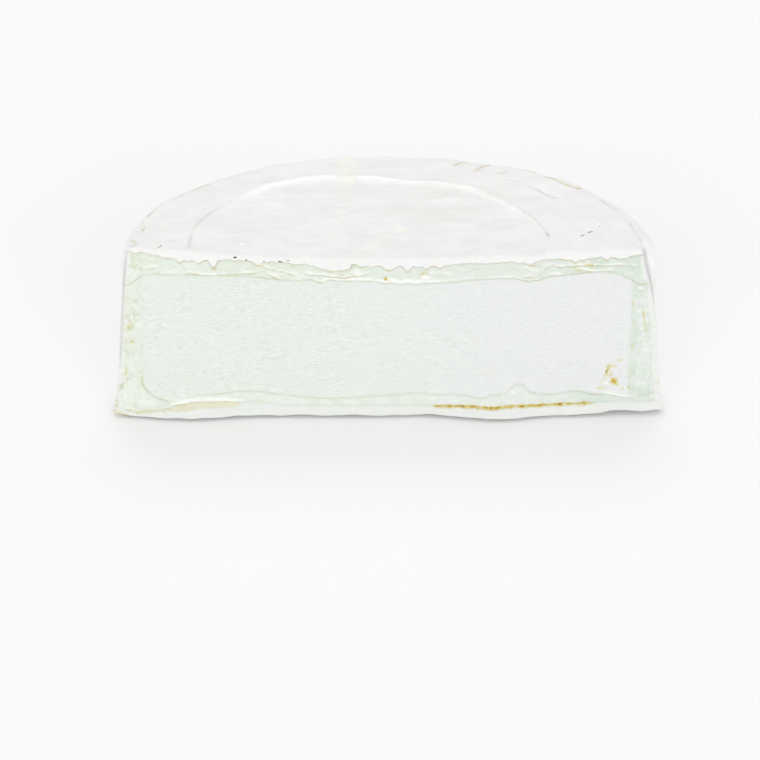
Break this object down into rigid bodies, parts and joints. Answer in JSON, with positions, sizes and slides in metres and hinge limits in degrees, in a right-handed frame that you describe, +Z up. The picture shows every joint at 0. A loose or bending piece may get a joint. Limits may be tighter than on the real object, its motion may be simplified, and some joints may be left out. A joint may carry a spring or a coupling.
{
  "type": "half cheese wheel",
  "caption": "Half of a low round soft white cheese with a bloomy rind, cut straight across, with a torn lip of rind and a smeared soft layer round a firm pale core.",
  "frame": {"origin": "under the middle of the bounding box, on the surface the cheese stands on", "axes": "+X along the cut, +Y from the cut to the round back, +Z up; the cut face looks along -Y"},
  "size_m": [0.2078, 0.1128, 0.0687],
  "materials": {
    "cheese": "soft white food: a velvety matt white rind, and on the cut a pale, slightly green white paste with a faint moist sheen"
  },
  "bodies": {
    "root": {"half_wheel": "cheese"}
  },
  "joints": []
}
